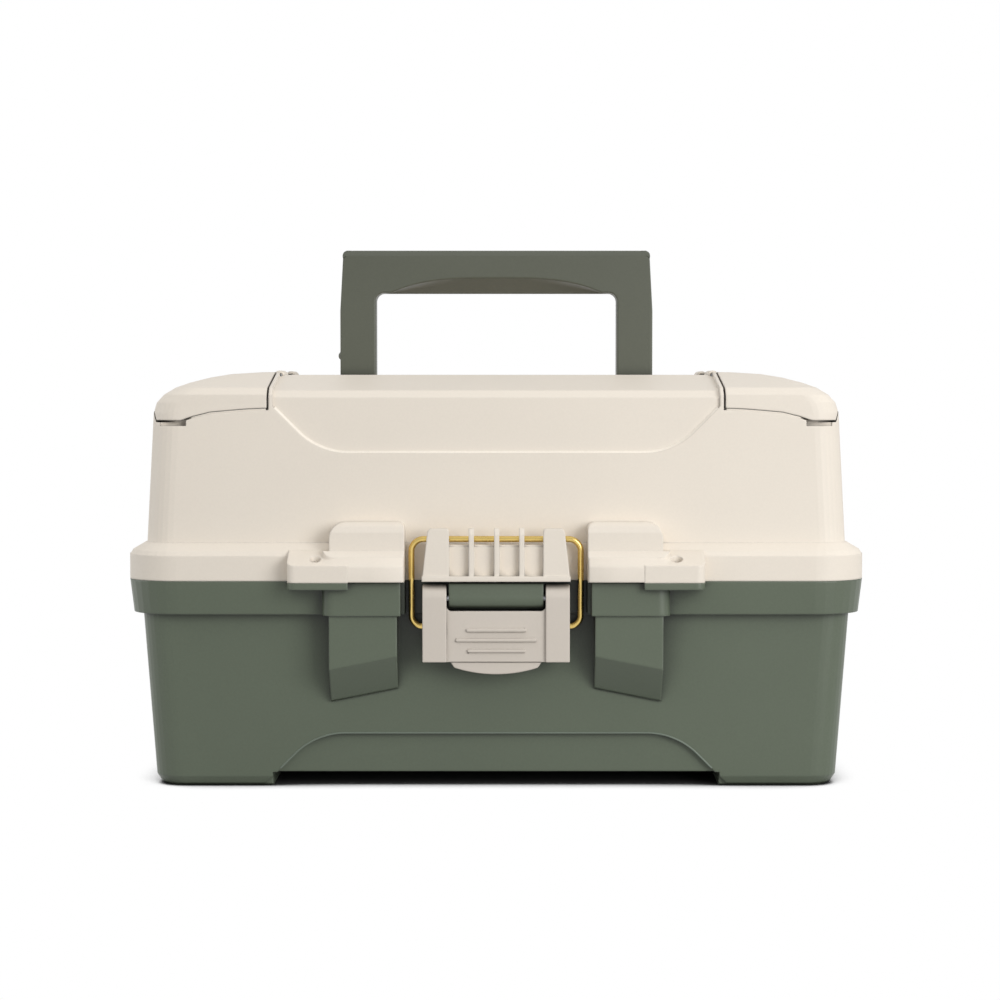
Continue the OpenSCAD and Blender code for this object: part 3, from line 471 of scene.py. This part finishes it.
# face of the latch boss, round about the lever's pin and flat above it
PIN_Y, PIN_Z, BOSS_RADIUS, BOSS_HALF, BOSS_TOP = -104.6, 94.1, 5.25, 22.9, 101.7
boss = [(PIN_Y - BOSS_RADIUS * math.sin(a), PIN_Z - BOSS_RADIUS * math.cos(a))
        for a in map(math.radians, range(0, 121, 8))]
boss += [(PIN_Y - 4.45, 101.0), (PIN_Y - 3.8, BOSS_TOP), (PIN_Y + 4, BOSS_TOP), (PIN_Y + 4, 90)]
piece("latch_boss_face", [[(x, y, z) for y, z in boss] for x in (-BOSS_HALF, BOSS_HALF)],
      "base", "base_plastic")

# the lock tab's front carried on along the bulge, then sunk into the tab beside the hole
TAB_FRONT, BULGE_IN, BLEND_IN, HOLE_SIDE = -115.0, 44.8, 77.0, 84.3
END_ROUND = 0.4                  # how far the end by the latch stays back
low_front = [(-105.0, 102.4), (TAB_FRONT + SEAT, 102.4), (TAB_FRONT + SEAT, 109.4),
             (-114.7, 110.2)]
full = low_front + [(-113.6, 111.3), (-111.3, 113.8), (-107.9, 117.0), (-105.0, 117.15)]
sunk = low_front + [(-113.6, 110.9), (-111.3, 112.0), (-107.9, 113.6), (-105.0, 115.0)]
end = [(y + END_ROUND if y < -106 else y, z) for y, z in full]
for side, sign in SIDES:
    rings = [[(sign * x, y, z) for y, z in outline]
             for x, outline in ((BULGE_IN, end), (BULGE_IN + 0.6, full), (60.0, full),
                                (BLEND_IN, full), (HOLE_SIDE, sunk))]
    piece("lock_tab_web_" + side, rings, "lid", "lid_plastic", TRIM_SHADE)

# upper corners of the handle, filled out to a small round: each ring's depth under the top,
# its distances in from the handle's side, and its distance in from the handle's face
HALF_W, TOP, HALF_T = 81.5, 267.6, 8.50
CORNER = ((4.1, 1.7, 1.45, SEAT), (3.0, 2.9, 1.3, SEAT), (1.6, 4.3, 1.5, 1.45),
          (0.7, 5.1, 2.1, 2.35), (0.03, 5.8, 3.3, 3.0))
for side, sign in SIDES:
    rings = []
    for drop, inner, outer, thin in CORNER:
        x0, x1 = sign * (HALF_W - inner), sign * (HALF_W - outer)
        y, z = HALF_T - thin, TOP - drop
        rings.append([(x0, -y, z), (x1, -y, z), (x1, y, z), (x0, y, z)])
    piece("handle_corner_" + side, rings, "carry_handle", "handle_plastic")

# sealing lip in the seam under each door's front edge, behind the wall just under the seam
SEAM = ((112.6, 186.2), (122.5, 185.8), (131.0, 185.1), (140.0, 184.3), (148.5, 182.2),
        (153.0, 180.7))
SEAL = ((0.25, 1.4), (0.25, 0.25), (1.6, 0.25), (1.6, 1.4))   # behind the wall, under the seam
WALL_DROP = 2.2
for side, sign in SIDES:
    rings = []
    for x, z in SEAM:
        wall = surface("lid_shell", sign * x, z - WALL_DROP)
        rings.append([(sign * x, wall + behind, z - under) for behind, under in SEAL])
    piece("door_seal_" + side, rings, "lid", "lid_plastic")


# ---------- camera, floor, world and lamps ----------

SENSOR, FOCAL_PER_WIDTH = 36.0, 2.474
CAMERA_PLACE, CAMERA_DIP = (0.0019, -1.303, 0.1974), 2.66
FLOOR_HALF = 6.0
SHADOW_REACH, SHADOW_SPAN, SHADOW_SAMPLES = 0.03, (0.33, 0.62), 12
FILL, WHITE = 0.79, 1.0

camera_data = bpy.data.cameras.new("camera")
camera_data.sensor_width = SENSOR
camera_data.lens = SENSOR * FOCAL_PER_WIDTH
camera = bpy.data.objects.new("camera", camera_data)
camera.location = CAMERA_PLACE
camera.rotation_euler = (math.radians(90 - CAMERA_DIP), 0, 0)
bpy.context.scene.collection.objects.link(camera)
bpy.context.scene.camera = camera


def studio_floor():
    """White to the camera and in reflections, dark where the object shades it closely."""
    g = Graph(bpy.data.materials.new("studio_floor"))
    path = g.add("ShaderNodeLightPath")
    seen = g.math("ADD", path.outputs["Is Camera Ray"], path.outputs["Is Glossy Ray"])
    seen = g.math("ADD", seen, path.outputs["Is Transmission Ray"], clamp=True)
    away = g.remap(g.openness(SHADOW_REACH, SHADOW_SAMPLES), *SHADOW_SPAN, 0.0, 1.0)
    shade, pale = g.add("ShaderNodeBsdfDiffuse"), g.add("ShaderNodeBsdfDiffuse")
    shade.inputs["Color"].default_value = (0.06, 0.06, 0.06, 1)
    pale.inputs["Color"].default_value = (0.3, 0.3, 0.3, 1)
    white = g.add("ShaderNodeEmission")
    white.inputs["Strength"].default_value = WHITE
    shown = g.mix_shaders(away, shade.outputs[0], white.outputs[0])
    return g.finish(g.mix_shaders(seen, pale.outputs[0], shown))


def studio_world():
    """White to the camera, and a soft fill light that is a little weaker."""
    g = Graph(bpy.data.worlds.new("world"), "ShaderNodeOutputWorld")
    path = g.add("ShaderNodeLightPath")
    seen = g.math("ADD", path.outputs["Is Camera Ray"], path.outputs["Is Transmission Ray"],
                  clamp=True)
    fill, white = g.add("ShaderNodeBackground"), g.add("ShaderNodeBackground")
    for background, strength in ((fill, FILL), (white, WHITE)):
        background.inputs["Color"].default_value = (1, 1, 1, 1)
        background.inputs["Strength"].default_value = strength
    return g.finish(g.mix_shaders(seen, fill.outputs[0], white.outputs[0]))


def area_lamp(name, location, target, size, power):
    data = bpy.data.lights.new(name, "AREA")
    data.shape = "RECTANGLE"
    data.size = data.size_y = size
    data.energy = power
    ob = bpy.data.objects.new(name, data)
    ob.location = location
    ob.rotation_euler = (Vector(target) - Vector(location)).to_track_quat("-Z", "Y").to_euler()
    ob.visible_camera = False
    bpy.context.scene.collection.objects.link(ob)


floor_mesh = bpy.data.meshes.new("floor")
floor_mesh.from_pydata([(-FLOOR_HALF, -FLOOR_HALF, 0), (FLOOR_HALF, -FLOOR_HALF, 0),
                        (FLOOR_HALF, FLOOR_HALF, 0), (-FLOOR_HALF, FLOOR_HALF, 0)],
                       [], [(0, 1, 2, 3)])
floor_mesh.materials.append(studio_floor())
floor = bpy.data.objects.new("floor", floor_mesh)
bpy.context.scene.collection.objects.link(floor)

bpy.context.scene.world = studio_world()
area_lamp("key_right", (0.95, -1.25, 0.48), (0.05, 0, 0.12), 0.8, 12.3)
area_lamp("top", (0.2, -0.1, 1.6), (0, 0, 0.1), 1.2, 1.0)
area_lamp("side_left", (-1.3, 0.12, 0.3), (0, 0, 0.12), 0.6, 2.6)

bpy.context.scene.view_settings.view_transform = "Standard"
